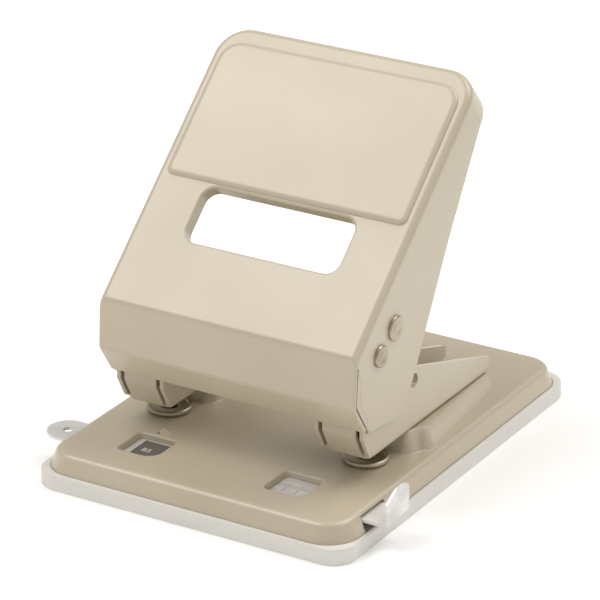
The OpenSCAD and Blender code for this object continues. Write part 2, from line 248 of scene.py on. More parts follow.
class Sheen(Enum):
    """How a metal's surface was worked."""

    DRAWN = "drawn along X"
    GROUND = "ground all round"
    PLATED = "nickel plated"


@dataclass(frozen=True)
class Enamel:
    """Stoved enamel on pressed steel: a slight orange peel under a satin gloss."""

    name: str
    tint: tuple[float, float, float]
    shade: tuple[float, float, float]

    def material(self) -> bpy.types.Material:
        """Builds the enamel: a slow drift of tone, fine specks and a fine peel.

        Returns:
            The material.
        """
        s = Shader(self.name)
        drift = s.ramp(s.noise(22.0, 3.0), 0.35, 0.65)
        specks = s.ramp(s.noise(2600.0, 2.0), 0.6, 0.75)
        colour = s.mix(drift, rgba(*self.tint), rgba(*self.shade))
        colour = s.mix(specks * 0.05, colour, rgba(120, 108, 88))
        peel = s.noise(900.0, 2.0) + 0.4 * s.noise(260.0, 2.0)
        rough = 0.33 + 0.06 * drift + 0.04 * specks
        return s.finish(colour, rough, peel, 0.000012, Coat_Weight=0.45, Coat_Roughness=0.2,
                        Specular_IOR_Level=0.55)


@dataclass(frozen=True)
class TrayPlastic:
    """Moulded matt plastic with a spark-eroded grain."""

    name: str
    tint: tuple[float, float, float]

    def material(self) -> bpy.types.Material:
        """Builds the plastic: fine grain, with painted shade in patches that darkens it near the desk.

        Returns:
            The material.
        """
        s = Shader(self.name)
        grain = s.noise(1800.0, 3.0)
        # painted shade: darker patches of noise, strongest at the desk and gone 3 mm above it
        desk_shade_patches = s.ramp(s.noise(40.0, 6.0, (1, 1, 5)), 0.56, 0.74)
        _, _, z = s.axes()
        low = s.ramp(z, 0.003, 0.0)
        colour = s.mix(desk_shade_patches * low * 0.25, rgba(*self.tint), rgba(150, 146, 138))
        return s.finish(colour, 0.46 + 0.12 * grain, grain, 0.00002, Specular_IOR_Level=0.4)


@dataclass(frozen=True)
class Steel:
    """Bare or plated steel."""

    name: str
    tint: tuple[float, float, float]
    roughness: float
    sheen: Sheen

    def surface(self, s: Shader) -> tuple[Sx, Sx, Sx]:
        """Colour, roughness and height of the bare metal.

        Args:
            s: the shader that gets the nodes.

        Returns:
            The three values.
        """
        stretch = {Sheen.DRAWN: (1, 45, 45), Sheen.GROUND: (1, 1, 30), Sheen.PLATED: (1, 1, 1)}[self.sheen]
        lines = s.noise(160.0, 5.0, stretch)
        cloud = s.ramp(s.noise(90.0, 4.0), 0.4, 0.7)
        dark = tuple(0.78 * c for c in self.tint)
        colour = s.mix(0.5 * cloud, rgba(*self.tint), rgba(*dark))
        rough = self.roughness + 0.14 * lines + 0.06 * cloud
        return colour, rough, lines

    def material(self) -> bpy.types.Material:
        """Builds the metal.

        Returns:
            The material.
        """
        s = Shader(self.name)
        colour, rough, lines = self.surface(s)
        bump = 0.000004 if self.sheen is Sheen.PLATED else 0.000008
        return s.finish(colour, rough, lines, bump, Metallic=1.0)


@dataclass(frozen=True)
class PrintedSteel(Steel):
    """Steel strip with a dark printed band and tick marks along its middle."""

    band: tuple[float, float] = (-35.6, -14.0)
    scale_end: float = 58.0
    middle_y: float = -56.6

    def material(self) -> bpy.types.Material:
        """Builds the strip: metal, a dark band, then ticks every 1 mm and long ones every 5 mm.

        Returns:
            The material.
        """
        s = Shader(self.name)
        colour, rough, lines = self.surface(s)
        x, y, _ = s.axes()
        across = abs(y - self.middle_y * MM)
        dark = (x > self.band[0] * MM) * (x < self.band[1] * MM) * (across < 6.6 * MM)
        printed = (x > self.band[1] * MM) * (x < self.scale_end * MM)
        fine = (x.every(1.0 * MM) < 0.22 * MM) * (abs(y - (self.middle_y + 1.5) * MM) < 1.0 * MM)
        coarse = (x.every(5.0 * MM) < 0.3 * MM) * (across < 3.4 * MM)
        ticks = (fine + coarse).held() * printed
        colour = s.mix(dark * 0.92, colour, rgba(88, 84, 76))
        colour = s.mix(ticks * 0.7, colour, rgba(96, 92, 92))
        metal = 0.5 - (dark + ticks).held() * 0.4
        return s.finish(colour, rough + 0.2 * dark, lines, 0.000006, Metallic=metal)


ENAMEL = Enamel("beige_enamel", (203, 191, 169), (198, 186, 163))
PLASTIC = TrayPlastic("tray_plastic", (228, 225, 219))
BRIGHT = Steel("bright_steel", (214, 210, 205), 0.26, Sheen.DRAWN)
HARD = Steel("hard_steel", (176, 172, 166), 0.2, Sheen.GROUND)
SPRING = Steel("spring_steel", (150, 148, 146), 0.24, Sheen.PLATED)
# plated steel with a painted reflection: grey metal tinted and darkened to the beige of the enamel round it
PLATED = Steel("plated_steel", (190, 178, 158), 0.3, Sheen.PLATED)
# die steel with a painted reflection: grey metal tinted to the beige of the enamel round it
DIE_STEEL_BEIGE_REFLECTION = Steel("die_steel_beige_reflection", (206, 196, 176), 0.34, Sheen.GROUND)
STRIP = PrintedSteel("printed_steel", (240, 238, 236), 0.42, Sheen.DRAWN)
WHITE_PRINT = Enamel("white_print", (232, 230, 224), (226, 224, 218))


# ---------------------------------------------------------------- mesh tools
Array = np.ndarray


@dataclass
class Shell:
    """Faces collected from several patches, in millimetres, welded when the mesh is made."""

    points: list[Array] = field(default_factory=list)
    faces: list[Array] = field(default_factory=list)
    count: int = 0

    def add(self, points: Array, faces: Array) -> None:
        """Adds points (n, 3) and faces (m, 3 or 4) that index them.

        Args:
            points: places (n, 3).
            faces: corner numbers (m, 3 or 4), counted within points.
        """
        self.points.append(np.asarray(points, float).reshape(-1, 3))
        self.faces.append(np.asarray(faces, int) + self.count)
        self.count += len(self.points[-1])

    def grid(self, surface: Array, keep: Array | None = None, flip: bool = False,
             closed: bool = False) -> None:
        """Adds a surface given on a grid of two parameters.

        Args:
            surface: points (rows, columns, 3).
            keep: which cells stay, as a mask (rows - 1, columns - 1), or all of them.
            flip: whether the faces turn the other way.
            closed: whether the last column joins the first.
        """
        rows, columns = surface.shape[:2]
        index = np.arange(rows * columns).reshape(rows, columns)
        if closed:
            index = np.concatenate([index, index[:, :1]], axis=1)
        cells = np.stack([index[:-1, :-1], index[:-1, 1:], index[1:, 1:], index[1:, :-1]], axis=-1)
        if keep is not None:
            cells = cells[keep]
        cells = cells.reshape(-1, 4)
        self.add(surface, cells[:, ::-1] if flip else cells)

    def fill(self, loops: Sequence[Array], holes: Sequence[Array], lift: Callable[[Array], Array],
             flip: bool = False, lines: Sequence[Array] = ()) -> None:
        """Fills the inside of the first loop with triangles that keep every loop and line as edges.

        Args:
            loops: closed outlines (n, 2); the first is the border, the others only crease the sheet.
            holes: closed outlines (n, 2) that stay open.
            lift: turns flat points (n, 2) into places (n, 3).
            flip: whether the faces turn the other way.
            lines: open lines (n, 2) that also crease the sheet.
        """
        rings = [np.asarray(r, float) for r in (*loops, *holes, *lines)]
        closed = len(loops) + len(holes)
        flat = np.concatenate(rings)
        edges, start = [], 0
        for i, ring in enumerate(rings):
            steps = np.arange(len(ring) if i < closed else len(ring) - 1)
            edges += np.stack([start + steps, start + (steps + 1) % len(ring)], axis=1).tolist()
            start += len(ring)
        made = delaunay_2d_cdt([Vector(p) for p in flat], edges, [], 0, 1e-5, False)
        points = np.array([v[:] for v in made[0]], float)
        triangles = np.array(made[2], int)
        middle = points[triangles].mean(axis=1)
        keep = inside(middle, rings[0])
        for hole in holes:
            keep &= ~inside(middle, np.asarray(hole, float))
        triangles = triangles[keep]
        self.add(lift(points), triangles[:, ::-1] if flip else triangles)

    def make(self, name: str, thickness: float = 0.0, weld: float = 0.004) -> bpy.types.Object:
        """Makes the object: welds the patches and gives an open sheet its thickness inwards.

        Args:
            name: the piece's name.
            thickness: sheet thickness in millimetres, 0 for a closed solid.
            weld: greatest distance of points that become one, in millimetres.

        Returns:
            The piece, with its mesh finished and no modifier left.
        """
        points = np.concatenate(self.points)
        faces = [row for block in self.faces for row in block.tolist()]
        mesh = bpy.data.meshes.new(name)
        mesh.from_pydata((points * MM).tolist(), [], faces)
        piece = bpy.data.objects.new(name, mesh)
        bpy.context.scene.collection.objects.link(piece)
        joined = piece.modifiers.new("weld", "WELD")
        joined.merge_threshold = weld * MM
        if thickness:
            wall = piece.modifiers.new("wall", "SOLIDIFY")
            wall.thickness = thickness * MM
            wall.offset = -1.0
            wall.use_even_offset = True
        apply_modifiers(piece)
        smooth(piece)
        return piece


def inside(points: Array, ring: Array) -> Array:
    """Which points lie inside a closed outline, by counting the edges that a ray crosses.

    Args:
        points: places (n, 2).
        ring: closed outline (m, 2).

    Returns:
        A mask (n,), true inside.
    """
    a, b = ring, np.roll(ring, -1, axis=0)
    px, py = points[:, :1], points[:, 1:2]
    spans = (a[:, 1] > py) != (b[:, 1] > py)
    rise = np.where(np.abs(b[:, 1] - a[:, 1]) < 1e-12, 1e-12, b[:, 1] - a[:, 1])
    crossing = a[:, 0] + (py - a[:, 1]) * (b[:, 0] - a[:, 0]) / rise
    return (spans & (px < crossing)).sum(axis=1) % 2 == 1


def apply_modifiers(piece: bpy.types.Object) -> None:
    """Makes what the modifiers show the piece's own mesh.

    Args:
        piece: the object whose modifiers are used up.
    """
    bpy.context.view_layer.update()
    seen = piece.evaluated_get(bpy.context.evaluated_depsgraph_get())
    mesh = bpy.data.meshes.new_from_object(seen)
    piece.modifiers.clear()
    old = piece.data
    piece.data = mesh
    bpy.data.meshes.remove(old)
    mesh.name = piece.name


def smooth(piece: bpy.types.Object, angle: float = 38.0) -> None:
    """Smooth shading with flats kept flat: sharp edges by angle, normals weighted by area.

    Args:
        piece: the object.
        angle: greatest angle between two faces, in degrees, that is still smooth.
    """
    mesh = piece.data
    mesh.shade_smooth()
    mesh.set_sharp_from_angle(angle=math.radians(angle))
    weighted = piece.modifiers.new("flats", "WEIGHTED_NORMAL")
    weighted.keep_sharp = True
    weighted.weight = 60


def dress(piece: bpy.types.Object, material: bpy.types.Material, body: str) -> None:
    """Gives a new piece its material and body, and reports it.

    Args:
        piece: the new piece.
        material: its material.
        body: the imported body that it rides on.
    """
    piece.data.materials.clear()
    piece.data.materials.append(material)
    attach(piece, body)
    log.info("piece %s on %s: %d faces", piece.name, body, len(piece.data.polygons))


def filleted(corners: Sequence[tuple[float, float, float]], closed: bool = False, steps: int = 6) -> Array:
    """An outline through corners, each rounded by an arc of its own radius.

    Args:
        corners: (x, y, radius) of each corner.
        closed: whether the last corner joins the first.
        steps: stretches in each arc.

    Returns:
        Points (n, 2). An arc touches both sides at radius times the tangent of half the turn.
    """
    data = np.array(corners, float)
    count = len(data)
    out: list[Array] = []
    for i in range(count):
        here, radius = data[i, :2], data[i, 2]
        if radius <= 0 or (not closed and i in (0, count - 1)):
            out.append(here[None])
            continue
        back = data[i - 1, :2] - here
        ahead = data[(i + 1) % count, :2] - here
        back, ahead = back / np.linalg.norm(back), ahead / np.linalg.norm(ahead)
        turn = math.pi - math.acos(float(np.clip(back @ ahead, -1, 1)))
        reach = radius * math.tan(turn / 2)
        first, last = here + back * reach, here + ahead * reach
        centre = here + (back + ahead) / np.linalg.norm(back + ahead) * radius / math.cos(turn / 2)
        share = np.linspace(0, 1, steps + 1)[:, None]
        a, b = first - centre, last - centre
        arc = centre + (np.sin((1 - share) * turn) * a + np.sin(share * turn) * b) / math.sin(turn)
        out.append(arc)
    return np.concatenate(out)


def rounded(x0: float, x1: float, y0: float, y1: float, radii: Sequence[float], steps: int = 8) -> Array:
    """A rectangle's outline, anticlockwise from its low corner, with a radius for each corner."""
    corners = [(x0, y0, radii[0]), (x1, y0, radii[1]), (x1, y1, radii[2]), (x0, y1, radii[3])]
    return filleted(corners, closed=True, steps=steps)


def split_sides(ring: Array, xs: Sequence[float] = (), ys: Sequence[float] = ()) -> Array:
    """The outline with extra points where its straight sides cross the given x or y values.

    Args:
        ring: closed outline (n, 2).
        xs: x values to cut at.
        ys: y values to cut at.

    Returns:
        The outline with the points added.
    """
    out: list[Array] = []
    for a, b in zip(ring, np.roll(ring, -1, axis=0)):
        out.append(a[None])
        step = b - a
        shares = [(v - a[0]) / step[0] for v in xs if abs(step[0]) > 1e-6]
        shares += [(v - a[1]) / step[1] for v in ys if abs(step[1]) > 1e-6]
        good = sorted(t for t in shares if 1e-4 < t < 1 - 1e-4)
        if good:
            out.append(a + np.array(good)[:, None] * step)
    return np.concatenate(out)


def outward(ring: Array) -> Array:
    """Normals of a closed outline, pointing out halfway between its sides, longer at sharp corners.

    Args:
        ring: closed anticlockwise outline (n, 2).

    Returns:
        Normals (n, 2): an offset along them keeps its distance from both sides.
    """
    ahead = np.roll(ring, -1, axis=0) - ring
    ahead /= np.maximum(np.linalg.norm(ahead, axis=1, keepdims=True), 1e-12)
    side = np.stack([ahead[:, 1], -ahead[:, 0]], axis=1)
    both = side + np.roll(side, 1, axis=0)
    unit = both / np.linalg.norm(both, axis=1, keepdims=True)
    return unit / np.maximum((unit * side).sum(axis=1, keepdims=True), 0.5)


def densified(path: Array, step: float) -> Array:
    """The open path with its long stretches cut into equal parts no longer than step.

    Args:
        path: open path (n, 2).
        step: longest stretch that stays whole.

    Returns:
        The path with points added.
    """
    parts = np.maximum(np.ceil(np.linalg.norm(np.diff(path, axis=0), axis=1) / step).astype(int), 1)
    index = np.repeat(np.arange(len(parts)), parts)
    first = np.repeat(np.cumsum(parts) - parts, parts)
    share = ((np.arange(parts.sum()) - first) / parts[index])[:, None]
    return np.concatenate([path[index] * (1 - share) + path[index + 1] * share, path[-1:]])


def left_normals(path: Array) -> Array:
    """Unit normals (n, 2) of an open path, turned a quarter left of its direction.

    Args:
        path: open path (n, 2).

    Returns:
        Normals (n, 2).
    """
    ahead = np.diff(path, axis=0)
    ahead /= np.linalg.norm(ahead, axis=1, keepdims=True)
    both = np.concatenate([ahead[:1], ahead[:-1] + ahead[1:], ahead[-1:]])
    both /= np.linalg.norm(both, axis=1, keepdims=True)
    return np.stack([-both[:, 1], both[:, 0]], axis=1)


def distance(points: Array, ring: Array, closed: bool = True) -> Array:
    """Distance of each point (n, 2) from an outline or an open path, by the nearest of its stretches.

    Args:
        points: places (n, 2).
        ring: outline or path (m, 2).
        closed: whether the last point joins the first.

    Returns:
        Distances (n,).
    """
    a = ring if closed else ring[:-1]
    b = np.roll(ring, -1, axis=0) if closed else ring[1:]
    along = b - a
    size = np.maximum((along * along).sum(axis=1), 1e-12)
    share = np.clip(((points[:, None] - a) * along).sum(axis=2) / size, 0, 1)
    return np.linalg.norm(points[:, None] - a - share[..., None] * along, axis=2).min(axis=1)


def ease(share: Array) -> Array:
    """A soft step: 0 below 0, 1 above 1, and three squares less two cubes between."""
    t = np.clip(share, 0, 1)
    return t * t * (3 - 2 * t)


def revolve(profile: Array, centre: Sequence[float], axis: str, segments: int = 48) -> Array:
    """A surface of revolution.

    Args:
        profile: (distance along the axis, radius) points.
        centre: a point on the axis, in millimetres.
        axis: "x" or "z".
        segments: stretches round the axis.

    Returns:
        Points (len(profile), segments, 3): the profile turned through a full circle.
    """
    turn = np.linspace(0, 2 * np.pi, segments, endpoint=False)
    along = np.repeat(profile[:, :1], segments, axis=1)
    a, b = profile[:, 1:] * np.cos(turn), profile[:, 1:] * np.sin(turn)
    order = (along, a, b) if axis == "x" else (a, b, along)
    return np.stack(order, axis=-1) + np.array(centre, float)


# ---------------------------------------------------------------- sub-assemblies
def box_mm(node: str) -> tuple[Array, Array]:
    """Lowest and highest corner of a CAD node, in millimetres."""
    low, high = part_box(node)
    return np.array(low) / MM, np.array(high) / MM


def joint(name: str) -> dict:
    """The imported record's entry for a joint."""
    return next(j for j in frame["joints"] if j["name"] == name)


@dataclass
class Lever:
    """The folded lever: a top panel with finger opening and palm rest, walls, front and lip."""

    slope: float = 41.6
    crease_ahead: float = 15.6
    crease_above: float = 4.5
    front: tuple[float, float] = (-1.1, -18.5)
    lower: tuple[float, float] = (7.1, -10.7)
    sheet: float = 1.2
    side_bend: float = 2.6
    front_edge: float = 1.0
    crease_bend: float = 3.0
    fold_bend: float = 4.0
    tip_radius: float = 12.0
    tip_depth: float = 14.0
    window: tuple[float, float, float, float] = (-30.5, 30.5, 27.8, 49.6)
    window_corner: float = 5.0
    lip_bend: float = 1.0
    lip_depth: float = 4.6
    rest_half: float = 47.8
    rest_gap: float = 1.15
    rest_height: float = 1.2
    rest_shoulder: float = 2.4
    seam: float = 0.9
    seam_start: float = 2.4
    wall_past: float = 2.2
    margin: float = 2.2
    margin_step: float = 0.22
    side_points: int = 18
    corner_points: int = 13
    wall_foot: tuple[tuple[float, float, float], ...] = (
        (14.9, -27.8, 2.5), (20.4, -21.4, 9.0), (25.5, -13.8, 30.0), (31.6, -2.2, 60.0), (47.6, 26.5, 60.0))

    def __post_init__(self) -> None:
        """Takes the width, length and pivot from the frame."""
        _, high = box_mm("lever")
        self.half = high[0]
        self.pivot = np.array(joint("lever_press")["pos_m"])[1:] / MM
        self.crease = self.pivot + (-self.crease_ahead, self.crease_above)
        a = math.radians(self.slope)
        self.along = np.array([math.cos(a), math.sin(a)])
        self.inward = np.array([math.sin(a), -math.cos(a)])
        rounding = 1 - (1 - self.along[0]) / self.along[1]
        self.length = (high[2] - self.crease[1]) / self.along[1] + self.side_bend * rounding
        turn = math.acos(float(-self.along @ (np.array(self.front) / math.hypot(*self.front))))
        self.panel_start = self.crease_bend * math.tan(turn / 2) + 0.4

    def on_panel(self, flat: Array) -> Array:
        """Places panel points (x, distance from the crease) in space, raised by the palm rest.

        Args:
            flat: points (n, 2).

        Returns:
            Places (n, 3).
        """
        up = self.rest_lift(flat)
        yz = self.crease + flat[:, 1:2] * self.along - up[:, None] * self.inward
        return np.concatenate([flat[:, :1], yz], axis=1)

    def rest_box(self, inset: float) -> tuple[float, float, float, float, Sequence[float]]:
        """The palm rest's sides and corner radii, inset by a distance.

        Args:
            inset: distance from the outer edge of the shoulder.

        Returns:
            Low x, high x, low y, high y and the four corner radii.
        """
        low = self.window[3] + self.rest_gap
        high = self.length - 6.6
        radii = [r - inset for r in (2.8, 2.8, 8.0, 8.0)]
        return -self.rest_half + inset, self.rest_half - inset, low + inset, high - inset, radii

    def rest_lift(self, flat: Array) -> Array:
        """Height of the palm rest: a quarter circle over its shoulder, flat inside it.

        Args:
            flat: points (n, 2).

        Returns:
            Heights (n,).
        """
        _, x1, y0, y1, radii = self.rest_box(0.0)
        middle = (y0 + y1) / 2
        r = np.where(flat[:, 1] < middle, radii[0], radii[2])
        dx = np.abs(flat[:, 0]) - (x1 - r)
        dy = np.abs(flat[:, 1] - middle) - ((y1 - y0) / 2 - r)
        gap = np.hypot(np.maximum(dx, 0), np.maximum(dy, 0)) + np.minimum(np.maximum(dx, dy), 0) - r
        share = np.clip(-gap / self.rest_shoulder, 0, 1)
        return self.rest_height * np.sqrt(1 - (1 - share) ** 2)

    def front_path(self) -> Array:
        """Side view of the sheet from the panel over the crease and down to the lip, as (y, z).

        Returns:
            Points (n, 2).
        """
        front_end = self.crease + self.front
        lip_end = front_end + self.lower
        start = self.crease + self.along * self.panel_start
        corners = [(*start, 0), (*self.crease, self.crease_bend), (*front_end, self.fold_bend), (*lip_end, 0)]
        return densified(filleted(corners, steps=8), 2.4)

    def build(self) -> bpy.types.Object:
        """Builds the whole sheet and welds it into one piece.

        Returns:
            The finished piece.
        """
        shell = Shell()
        path = self.front_path()
        below = (self.crease[1] - path[:, 1]) / self.seam_start
        bend = self.side_bend + (self.front_edge - self.side_bend) * ease(below)
        across = np.linspace(-1, 1, 27)
        strip_x = (self.half - bend)[:, None] * across
        strip = np.stack([strip_x, *np.repeat(path.T[:, :, None], len(across), axis=2)], axis=-1)
        shell.grid(strip, flip=True)

        # flat panel: border, palm rest shoulders and the finger opening
        flat = self.half - self.side_bend
        start = self.panel_start
        r = self.tip_radius - self.side_bend
        end = self.length - self.side_bend
        turn = np.linspace(0, np.pi / 2, self.corner_points)
        right = np.stack([flat - r + r * np.cos(turn), end - r + r * np.sin(turn)], axis=1)
        left = right[::-1] * (-1, 1)
        side = np.linspace(start, end - r, self.side_points + 2)[1:-1]
        border = np.concatenate([np.stack([flat * across, np.full(len(across), start)], 1),
                                 np.stack([np.full(self.side_points, flat), side], 1), right, left,
                                 np.stack([np.full(self.side_points, -flat), side[::-1]], 1)])
        creases = []
        for share in (0.0, 0.03, 0.1, 0.2, 0.34, 0.5, 0.68, 0.85, 1.0):
            x0, x1, y0, y1, radii = self.rest_box(share * self.rest_shoulder)
            creases.append(rounded(x0, x1, y0, y1, radii))
        grow = self.lip_bend
        x0, x1, y0, y1 = self.window
        opening = rounded(x0 - grow, x1 + grow, y0 - grow, y1 + grow, [self.window_corner + grow] * 4)
        shell.fill([border, *creases], [opening], self.on_panel)

        # lip folded in round the finger opening: a bend, then a straight wall
        phi = np.radians([0, 20, 40, 60, 75, 90])
        reach = np.concatenate([grow * np.sin(phi), [grow]])
        depth = np.concatenate([grow * (1 - np.cos(phi)), [self.lip_depth]])
        ring = opening[None] - reach[:, None, None] * outward(opening)[None]
        yz = self.crease + ring[..., 1:] * self.along + depth[:, None, None] * self.inward
        shell.grid(np.concatenate([ring[..., :1], yz], axis=-1), closed=True)

        self.add_walls(shell, path, bend, border[len(across):])
        piece = shell.make("lever_sheet", self.sheet)
        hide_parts("lever")
        return piece

    def add_walls(self, shell: Shell, path: Array, radius: Array, rim2: Array) -> None:
        """Adds the side bends, the walls and the wall round the free end.

        Args:
            shell: the sheet so far.
            path: side view of the front, from panel to lip.
            radius: radius of the side bend at each of its points.
            rim2: edge of the flat panel, from its right side over the free end to its left side.
        """
        phi = np.radians([0, 12, 25, 38, 51, 64, 77, 90])[:, None, None]
        path_in = left_normals(path)
        path_in[0] = self.inward
        count = len(path)
        rim = np.concatenate([rim2[:, :1], self.crease + rim2[:, 1:] * self.along], axis=1)
        out2 = -left_normals(rim2)
        out2[:self.side_points], out2[-self.side_points:] = (1, 0), (-1, 0)
        out_rim = np.concatenate([out2[:, :1], out2[:, 1:] * self.along], axis=1)
        in_rim = np.tile(np.concatenate([[0], self.inward]), (len(rim), 1))

        def front(side: float) -> tuple[Array, Array, Array]:
            """Edge, outward and inward directions along the front on one side.

            Args:
                side: 1 for the right side, -1 for the left.

            Returns:
                Edge points, outward and inward directions, each (n, 3).
            """
            edge = np.concatenate([side * (self.half - radius)[:, None], path], axis=1)
            out = np.tile((side, 0.0, 0.0), (count, 1))
            return edge, out, np.concatenate([np.zeros((count, 1)), path_in], axis=1)

        right, left = front(1.0), front(-1.0)
        edge = np.concatenate([right[0][::-1], rim, left[0]])
        out = np.concatenate([right[1][::-1], out_rim, left[1]])
        inn = np.concatenate([right[2][::-1], in_rim, left[2]])
        r = np.concatenate([radius[::-1], np.full(len(rim), self.side_bend), radius])[:, None]
        bend = edge + r * np.sin(phi) * out + r * (1 - np.cos(phi)) * inn
        shell.grid(bend, flip=True)

        foot = bend[-1]
        corner = count + self.side_points
        tip = slice(corner, corner + 2 * self.corner_points)
        wall = np.stack([foot[tip], foot[tip] + (self.tip_depth - self.side_bend) * inn[tip]])
        shell.grid(wall, flip=True)

        # each wall: its front edge stands back from the front sheet by the seam
        row = int(np.argmax(path[:, 1] < self.crease[1] - self.seam_start))
        back = (path + (radius + self.seam)[:, None] * path_in)[row:]
        inside_in = path_in[row:]
        lower = self.lower_edge(back[-1])
        top_z = back[0, 1]

        def wall_x(flat: Array) -> Array:
            """Depth of the coined margin along the wall's front edge."""
            near = 1 - ease((distance(flat, back, closed=False) - self.margin + 0.5) / 0.5)
            return self.margin_step * near * ease((top_z - flat[:, 1] - 0.6) / 2.0)

        lines = [(back + (self.margin - short) * inside_in)[2:-1] for short in (0.5, 0.25, 0.0)]
        for side, top in ((1.0, foot[:corner + 1]), (-1.0, foot[::-1][:corner + 1])):
            front_feet = top[count - row - 1:, 1:]
            outline = np.concatenate([back[::-1], front_feet, lower])
            shell.fill([outline], [], lambda p, s=side: np.concatenate(
                [s * (self.half - wall_x(p))[:, None], p], 1), flip=side < 0, lines=lines)

    def lower_edge(self, start: Array) -> Array:
        """Side view of a wall's lower and rear edge from the free end to the lip, as (y, z).

        Args:
            start: the wall's last point at the lip.

        Returns:
            Points (n, 2), without the one at the lip.
        """
        p = self.pivot
        corner = self.crease + (self.length - self.tip_radius) * self.along
        ahead = np.array(self.lower) / math.hypot(*self.lower)
        corners = [(*start, 0), (*(start + self.wall_past * ahead), 0.8),
                   *((*(p + (y, z)), r) for y, z, r in self.wall_foot),
                   (*(corner + self.tip_depth * self.inward), 0)]
        return filleted(corners, steps=5)[::-1][:-1]


@dataclass
class BasePlate:
    """The pressed base plate with windows, raised pads, rolled edge and flared skirt."""

    sheet: float = 1.2
    top: float = 12.8
    slope_reach: float = 2.6
    flare: float = 1.5
    rim_height: float = 6.2
    roll: float = 2.4
    corner: float = 7.9
    window_size: float = 15.0
    window_left: float = -31.0
    window_right: float = 28.3
    window_bend: float = 0.9
    lip: float = 2.2
    slot_half: float = 7.8
    slot_drop: float = 1.3
    pad_out: float = 2.6
    pad_in: float = 1.6
    die_hole: float = 5.6
    pad_half: float = 10.0
    pad_behind_die: float = 12.0
    ear_reach: float = 14.1

    def __post_init__(self) -> None:
        """Takes sizes and places from the frame."""
        low, high = box_mm("base_plate")
        self.half_x, self.half_y = high[0], high[1]
        self.foot = low[2]
        self.pad_rise = high[2] - self.top
        guide_low, guide_high = box_mm("paper_guide")
        self.guide_y = (guide_low[1] + guide_high[1]) / 2
        die_low, die_high = box_mm("right_die")
        self.die = (die_low + die_high)[:2] / 2
        self.pointer_place = (self.window_left - 0.9, self.guide_y + 11.4)
        rear = box_mm("right_frame")[1][1] + 1.2
        front = self.die[1] + self.pad_behind_die
        x = self.die[0]
        half = self.pad_half
        self.pad = filleted([(x - half, front, 3.0), (x + half, front, 3.0), (x + 10.6, front + 5.0, 4.0),
                             (x + self.ear_reach, front + 6.6, 3.4), (x + half, rear, 3.0),
                             (x - half, rear, 3.0)], closed=True, steps=6)

    def lift(self, flat: Array) -> Array:
        """Raises flat points by the pads: a soft step over the distance from the pad's outline.

        Args:
            flat: points (n, 2).

        Returns:
            Places (n, 3).
        """
        mirrored = np.abs(flat) * (1, 0) + flat * (0, 1)
        away = distance(mirrored, self.pad) * np.where(inside(mirrored, self.pad), -1, 1)
        up = self.pad_rise * ease((self.pad_out - away) / (self.pad_out + self.pad_in))
        return np.concatenate([flat, (self.top + up)[:, None]], axis=1)

    def build(self) -> bpy.types.Object:
        """Builds the plate and welds it into one piece.

        Returns:
            The finished piece.
        """
        shell = Shell()
        ix = self.half_x - self.flare - self.slope_reach
        iy = self.half_y - self.flare - self.slope_reach
        slot_y = [self.guide_y - self.slot_half, self.guide_y + self.slot_half]
        border = split_sides(rounded(-ix, ix, -iy, iy, [self.corner] * 4, steps=12), ys=slot_y)
        windows = []
        for x in (self.window_left, self.window_right):
            h = self.window_size / 2 + self.window_bend
            windows.append(rounded(x - h, x + h, self.guide_y - h, self.guide_y + h, [2.4, 6.0, 2.4, 2.4]))
        turn = np.linspace(0, 2 * np.pi, 48, endpoint=False)
        circle = self.die_hole * np.stack([np.cos(turn), np.sin(turn)], 1)
        die_holes = [circle + self.die * (s, 1) for s in (-1, 1)]
        x, y = self.pointer_place
        slit = rounded(x - 1.0, x + 0.02, y - 2.2, y + 2.2, [0.3] * 4, steps=2)
        out = outward(self.pad)
        offsets = self.pad_out - np.linspace(0, 1, 9) * (self.pad_out + self.pad_in)
        creases = [(self.pad + offset * out) * (s, 1) for s in (-1, 1) for offset in offsets]
        shell.fill([border, *creases], windows + die_holes + [slit], self.lift)

        # edge: roll, flared skirt, then straight down inside the tray's rim
        fall = self.top - self.rim_height
        flare_start = self.slope_reach - self.flare * self.slope_reach / (fall - self.slope_reach)
        reach = self.flare + self.slope_reach
        section = filleted([(0, 0, 0), (flare_start, 0, self.roll), (reach, fall, 1.5),
                            (reach, self.top - self.foot, 0)], steps=7)
        section = section[np.concatenate([[True], np.diff(section[:, 0] + section[:, 1]) > 1e-6])]
        drop = section[:, 1]
        skirt = border[None] + section[:, 0][:, None, None] * outward(border)[None]
        surface = np.concatenate([skirt, np.broadcast_to((self.top - drop)[:, None, None],
                                                         (*skirt.shape[:2], 1))], axis=-1)
        middle_y = (border[:, 1] + np.roll(border[:, 1], -1)) / 2
        in_slot = np.abs(middle_y - self.guide_y) < self.slot_half - 0.01
        in_slot &= np.abs(border[:, 0]) > ix - 0.01
        keep = np.ones((len(drop) - 1, len(border)), bool)
        keep[np.ix_(drop[1:] > self.slot_drop, in_slot)] = False
        shell.grid(surface, keep, flip=True, closed=True)

        for ring in windows:
            phi = np.radians([0, 18, 36, 54, 72, 90])
            reach = np.concatenate([self.window_bend * np.sin(phi), [self.window_bend]])
            fall = np.concatenate([self.window_bend * (1 - np.cos(phi)), [self.lip]])
            flat = ring[None] - reach[:, None, None] * outward(ring)[None]
            height = np.broadcast_to((self.top - fall)[:, None, None], (*flat.shape[:2], 1))
            shell.grid(np.concatenate([flat, height], axis=-1), closed=True)
        piece = shell.make("base_sheet", self.sheet)
        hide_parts("base_plate")
        return piece

